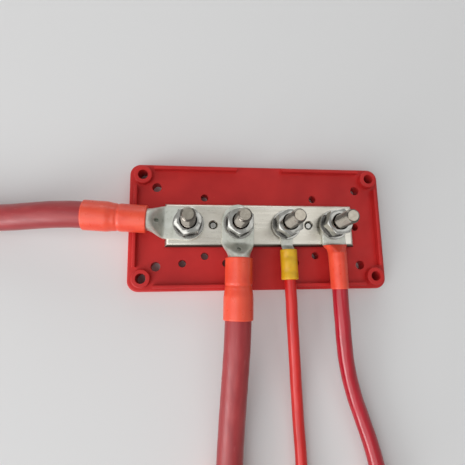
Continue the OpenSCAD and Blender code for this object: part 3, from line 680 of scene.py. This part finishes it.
# Large sleeves
# Orange-red heat-shrink tubing over the end of each barrel and the start of its cable. It has drawn
# down hard on the barrel, so a crease shows where that ends and the tube widens over the cable.
SLEEVE_START = 16.8 * mm
SLEEVE_LENGTH = 26.7 * mm
SLEEVE_ON_BARREL = 6.05 * mm
SLEEVE_ON_CABLE = 6.5 * mm
SLEEVE_BARREL_BORE = 4.85 * mm
SLEEVE_CABLE_BORE = 5.8 * mm
CREASE_DEPTH = 0.24 * mm
CREASE_WIDTH = 0.7 * mm
CREASE_BACK = 1.0 * mm
FLARE_AFTER = 1.4 * mm
FLARE_RUN = 3.6 * mm
SLEEVE_LIP = 0.35 * mm
UNEVEN = 0.05 * mm
UNEVEN_RUN = 4 * mm
COARSE = 2.4 * mm
FINE = 1.1 * mm


def wrinkle(point, size):
    """Smooth unevenness between -1 and 1, with bumps of that size."""
    return noise.noise(point / size)


def sleeve_mesh():
    """A large sleeve in its lug's frame."""
    steps = 64
    slices = 110
    start = SLEEVE_START
    end = start + SLEEVE_LENGTH
    crease = LUG_REACH - CREASE_BACK
    rows = []

    def circle(x, radius, uneven):
        ring = []
        for i in range(steps):
            angle = tau * i / steps
            spot = Vector((x, radius * cos(angle), radius * sin(angle)))
            r = radius + uneven * (wrinkle(spot, COARSE) + 0.5 * wrinkle(spot, FINE))
            ring.append(Vector((x, r * cos(angle), LUG_AXIS + r * sin(angle))))
        return ring

    for i in range(slices + 1):
        x = start + (end - start) * i / slices
        widen = ease((x - crease - FLARE_AFTER) / FLARE_RUN)
        r = SLEEVE_ON_BARREL + (SLEEVE_ON_CABLE - SLEEVE_ON_BARREL) * widen
        r -= CREASE_DEPTH * exp(-((x - crease) / CREASE_WIDTH) ** 2)
        nearest = min(x - start, end - x)
        r -= SLEEVE_LIP * (1 - min(nearest / SLEEVE_LIP, 1)) ** 2
        rows.append(circle(x, r, UNEVEN * (0.3 + exp(-((x - crease) / UNEVEN_RUN) ** 2))))
    for x, r in ((end, SLEEVE_CABLE_BORE), (LUG_REACH, SLEEVE_CABLE_BORE),
                 (LUG_REACH, SLEEVE_BARREL_BORE), (start, SLEEVE_BARREL_BORE)):
        rows.append(circle(x, r, 0.0))
    work = bmesh.new()
    add_skin(work, rows, around=True)
    return finish_mesh("large_sleeve", work, sharp=50)


shrink = new_finish("heat_shrink")
tint(shrink, speckle(shrink, 5 * mm, drawn=(2, 1, 1)),
     paint(224, 66, 42), paint(234, 80, 54), paint(240, 90, 62))
stain_and_painted_light(shrink, speckle(shrink, 1.2 * mm, drawn=(3, 1, 1), detail=7), paint(244, 110, 70),
      start=0.68, full=0.92)
gloss(shrink, speckle(shrink, 1.8 * mm), smooth=0.26, rough=0.4)
grain(shrink, speckle(shrink, 0.7 * mm, drawn=(3, 1, 1)), depth=0.02 * mm)
shader_of(shrink).inputs["Subsurface Weight"].default_value = 0.12
shader_of(shrink).inputs["Subsurface Radius"].default_value = (1.0 * mm, 0.25 * mm, 0.12 * mm)
shader_of(shrink).inputs["Subsurface Scale"].default_value = 1.0
large_sleeve = sleeve_mesh()
for node, place, carried in (("left_shrink", left_near, on_left), ("left_far_shrink", left_far, on_left),
                             ("centre_shrink", centre_near, on_centre),
                             ("centre_far_shrink", centre_far, on_centre)):
    carried.append(at(show(node + "_look", large_sleeve, shrink, "heat_shrink", node), place))


# Large cables
# Flexible battery cable with a dull dark red rubbery jacket, stiff at this thickness. Its length past
# the photo's edge is a guess: each is a short jumper with the same lug on its other end.
LARGE_CABLE = 11.5 * mm


def cable(name, points, place, diameter, finish, node):
    """A cable along its points as a smooth curve in its lug's frame."""
    curve = bpy.data.curves.new(name, "CURVE")
    curve.dimensions = "3D"
    curve.bevel_depth = diameter / 2
    curve.bevel_resolution = 10
    curve.resolution_u = 6
    curve.use_fill_caps = True
    line = curve.splines.new("BEZIER")
    line.bezier_points.add(len(points) - 1)
    for knot, point in zip(line.bezier_points, points):
        knot.co = place.inverted() @ point
        knot.handle_left_type = "AUTO"
        knot.handle_right_type = "AUTO"
    curve.materials.append(finish)
    piece = bpy.data.objects.new(name, curve)
    scene.collection.objects.link(piece)
    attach(at(piece, place), "root")
    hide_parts(node)


jacket = new_finish("dull_red_jacket")
tint(jacket, speckle(jacket, 3 * mm, drawn=(8, 1, 1)),
     paint(142, 34, 40), paint(156, 44, 48), paint(166, 54, 56))
stain_and_painted_light(jacket, speckle(jacket, 0.8 * mm, drawn=(10, 1, 1), detail=8), paint(178, 90, 90),
      start=0.64, full=0.88)
gloss(jacket, speckle(jacket, 1.5 * mm, drawn=(6, 1, 1)), smooth=0.36, rough=0.5)
grain(jacket, speckle(jacket, 0.5 * mm, drawn=(20, 1, 1)), depth=0.02 * mm)
shader_of(jacket).inputs["Sheen Weight"].default_value = 0.15
shader_of(jacket).inputs["Sheen Roughness"].default_value = 0.4
cable("left_cable_look", left_run, left_near, LARGE_CABLE, jacket, "left_cable")
cable("centre_cable_look", centre_run, centre_near, LARGE_CABLE, jacket, "centre_cable")


# Ring terminals
# Pressed from tinned copper sheet: a thin ring, a tongue and a rolled barrel that the wire is crimped
# in. One is clamped on the third stud and one is on the wire's other end.
THIN_REACH = 18.9 * mm
TERMINAL_EDGE = 0.12 * mm
thin_run, thin_near, thin_far = run("third", THIN_REACH)
on_thin = [eased("ring_terminal", tinned_lug, "tinned_lug", TERMINAL_EDGE),
           eased("far_ring_terminal", tinned_lug, "tinned_lug", TERMINAL_EDGE),
           frame["nodes"]["thin_conductor"]]


# Terminal sleeves
# The yellow moulded sleeves on the ring terminals, slightly see-through, pinched twice by the crimping
# tool and left a little flared where the wire goes in.
GRIP_START = 11.7 * mm
GRIP_LENGTH = 13.7 * mm
GRIP_SIZE = (7.8 * mm, 7.0 * mm)
GRIP_AXIS = 2.8 * mm
GRIP_BARREL_BORE = 5.7 * mm
GRIP_WIRE_BORE = 5.3 * mm
DENTS = (3.6 * mm, 10.1 * mm)
DENT_DEPTH = 0.4 * mm
DENT_WIDTH = 1.3 * mm
GRIP_LIP = 0.4 * mm
GRIP_WAIST = 0.2 * mm
GRIP_FLARE = 0.3 * GRIP_LENGTH
CORNER_STEPS = 12


def grip_mesh():
    """A terminal's sleeve in the terminal's frame."""
    slices = 60
    rows = []
    for i in range(slices + 1):
        x = GRIP_LENGTH * i / slices
        edge = GRIP_LIP * (1 - min(min(x, GRIP_LENGTH - x) / GRIP_LIP, 1)) ** 2
        pinch = sum(exp(-((x - dent) / DENT_WIDTH) ** 2) for dent in DENTS)
        waist = GRIP_WAIST * (1 - ease((x - GRIP_LENGTH + GRIP_FLARE) / GRIP_FLARE))
        width = GRIP_SIZE[0] - 2 * edge - waist
        height = GRIP_SIZE[1] - 2 * edge - waist
        ring = section(GRIP_START + x, width, height, height / 2, GRIP_AXIS, CORNER_STEPS)
        for point in ring:
            up = (point.z - GRIP_AXIS) / (height / 2)
            if up > 0:
                point.z -= DENT_DEPTH * pinch * up * up
        rows.append(ring)
    end = GRIP_START + GRIP_LENGTH
    for x, bore in ((end, GRIP_WIRE_BORE), (THIN_REACH, GRIP_WIRE_BORE),
                    (THIN_REACH, GRIP_BARREL_BORE), (GRIP_START, GRIP_BARREL_BORE)):
        rows.append(section(x, bore, bore, bore / 2, GRIP_AXIS, CORNER_STEPS))
    work = bmesh.new()
    add_skin(work, rows, around=True)
    bmesh.ops.remove_doubles(work, verts=work.verts, dist=MERGE)
    return finish_mesh("terminal_grip", work, sharp=50)


yellow = new_finish("yellow_sleeve")
tint(yellow, speckle(yellow, 4 * mm), paint(212, 160, 14), paint(224, 174, 24), paint(230, 182, 36))
gloss(yellow, speckle(yellow, 2 * mm), smooth=0.34, rough=0.46)
grain(yellow, speckle(yellow, 0.6 * mm), depth=0.01 * mm)
shader_of(yellow).inputs["Subsurface Weight"].default_value = 0.3
shader_of(yellow).inputs["Subsurface Radius"].default_value = (1.5 * mm, 1.0 * mm, 0.3 * mm)
shader_of(yellow).inputs["Subsurface Scale"].default_value = 1.0
grip = grip_mesh()
for node, place in (("terminal_sleeve", thin_near), ("far_terminal_sleeve", thin_far)):
    on_thin.append(at(show(node + "_look", grip, yellow, "yellow_sleeve", node), place))


# Thin wire
# Stranded wire with a smooth bright red plastic jacket, medium stiff. It runs like the large cables, and
# its length past the photo's edge is a guess too.
THIN_WIRE = 5.2 * mm
wire_red = new_finish("bright_red_wire")
tint(wire_red, speckle(wire_red, 2.5 * mm, drawn=(8, 1, 1)),
     paint(190, 22, 20), paint(204, 30, 26), paint(212, 40, 34))
gloss(wire_red, speckle(wire_red, 1.2 * mm, drawn=(5, 1, 1)), smooth=0.3, rough=0.44)
grain(wire_red, speckle(wire_red, 0.4 * mm, drawn=(15, 1, 1)), depth=0.01 * mm)
cable("thin_wire_look", thin_run, thin_near, THIN_WIRE, wire_red, "thin_wire")


# Small lugs
# The right lead's lugs: tin-plated copper tubes, pressed and drilled like the large ones but for a
# thinner cable. One is clamped on the right stud and one is on the lead's other end.
SMALL_PALM = (11.0 * mm, 2.0 * mm)
SMALL_EYE = 6.75 * mm
SMALL_TAIL = 6.0 * mm
SMALL_FRONT = 8.6 * mm
SMALL_NECK = 5.0 * mm
SMALL_BARREL = 6.4 * mm
SMALL_AXIS = 4.0 * mm
SMALL_REACH = 20.9 * mm
SMALL_BORE = 4.7 * mm
SMALL_BORE_DEPTH = 7.5 * mm
SMALL_SIGHT = 1.4 * mm
right_run, right_near, right_far = run("right", SMALL_REACH)
small_lug = tube_lug("small_lug", palm=SMALL_PALM, eye=SMALL_EYE, tail=SMALL_TAIL, front=SMALL_FRONT,
                     neck=SMALL_NECK, barrel=SMALL_BARREL, axis=SMALL_AXIS, reach=SMALL_REACH,
                     bore=SMALL_BORE, depth=SMALL_BORE_DEPTH, sight=SMALL_SIGHT)
for node, place in (("right_lug", right_near), ("right_far_lug", right_far)):
    at(show(node + "_look", small_lug, tinned_lug, "tinned_lug", node), place)


# Small sleeves
# Heat-shrink on the right lead. It reaches up over the neck, where it spreads out wide and flat, and
# draws in quickly to the barrel and then evenly down to the cable.
SMALL_SLEEVE_START = 9.6 * mm
SMALL_SLEEVE_LENGTH = 20.4 * mm
SMALL_MOUTH = (11.0 * mm, 5.0 * mm)
SMALL_COLLAR = 8.4 * mm
SMALL_CABLE = 7.0 * mm
SMALL_END = 7.9 * mm
SMALL_LIP = 0.3 * mm
SMALL_CLEAR = 0.1 * mm
SMALL_WRINKLE = 2 * mm


def small_sleeve_mesh():
    """The right lead's sleeve in its lug's frame."""
    start = SMALL_SLEEVE_START
    end = start + SMALL_SLEEVE_LENGTH
    neck_end = SMALL_FRONT + SMALL_NECK
    slices = 90
    neck_slices = 8
    rows = []
    for i in range(slices + 1):
        x = start + (end - start) * i / slices
        edge = 2 * SMALL_LIP * (1 - min(min(x - start, end - x) / SMALL_LIP, 1)) ** 2
        rise = min((x - start) / (neck_end - start), 1)
        cone = SMALL_COLLAR + (SMALL_END - SMALL_COLLAR) * max((x - neck_end) / (end - neck_end), 0)
        width = cone + (SMALL_MOUTH[0] - cone) * (1 - rise) ** 2
        height = SMALL_MOUTH[1] + (cone - SMALL_MOUTH[1]) * rise
        middle = SMALL_MOUTH[1] / 2 + (SMALL_AXIS - SMALL_MOUTH[1] / 2) * rise
        ring = section(x, width - edge, height - edge, (height - edge) / 2, middle)
        core = Vector((x, 0, middle))
        for point in ring:
            point += (point - core).normalized() * UNEVEN * wrinkle(point, SMALL_WRINKLE)
        rows.append(ring)
    cable_bore = SMALL_CABLE + SMALL_CLEAR
    for x in (end, SMALL_REACH):
        rows.append(section(x, cable_bore, cable_bore, cable_bore / 2, SMALL_AXIS))
    barrel_bore = SMALL_BARREL + SMALL_CLEAR
    for x in (SMALL_REACH, neck_end):
        rows.append(section(x, barrel_bore, barrel_bore, barrel_bore / 2, SMALL_AXIS))
    for i in range(1, neck_slices + 1):
        x = neck_end + (start - neck_end) * i / neck_slices
        t = ease((x - SMALL_FRONT) / SMALL_NECK)
        width = SMALL_PALM[0] + (SMALL_BARREL - SMALL_PALM[0]) * t + SMALL_CLEAR
        height = SMALL_PALM[1] + (SMALL_BARREL - SMALL_PALM[1]) * t + SMALL_CLEAR
        middle = SMALL_PALM[1] / 2 + (SMALL_AXIS - SMALL_PALM[1] / 2) * t
        rows.append(section(x, width, height, LUG_SOFT + (height / 2 - LUG_SOFT) * t, middle))
    work = bmesh.new()
    add_skin(work, rows, around=True)
    bmesh.ops.remove_doubles(work, verts=work.verts, dist=MERGE)
    return finish_mesh("small_sleeve", work, sharp=50)


small_sleeve = small_sleeve_mesh()
for node, place in (("right_shrink", right_near), ("right_far_shrink", right_far)):
    at(show(node + "_look", small_sleeve, shrink, "heat_shrink", node), place)


# Right cable
# A thinner battery cable with a glossy crimson plastic jacket, medium stiff. It curves away to the
# right, and its length past the photo's edge is a guess too.
crimson = new_finish("glossy_crimson_jacket")
tint(crimson, speckle(crimson, 3 * mm, drawn=(8, 1, 1)),
     paint(158, 10, 30), paint(170, 16, 36), paint(180, 24, 44))
gloss(crimson, speckle(crimson, 1.5 * mm, drawn=(6, 1, 1)), smooth=0.16, rough=0.26)
grain(crimson, speckle(crimson, 0.6 * mm, drawn=(12, 1, 1)), depth=0.006 * mm)
cable("right_cable_look", right_run, right_near, SMALL_CABLE, crimson, "right_cable")
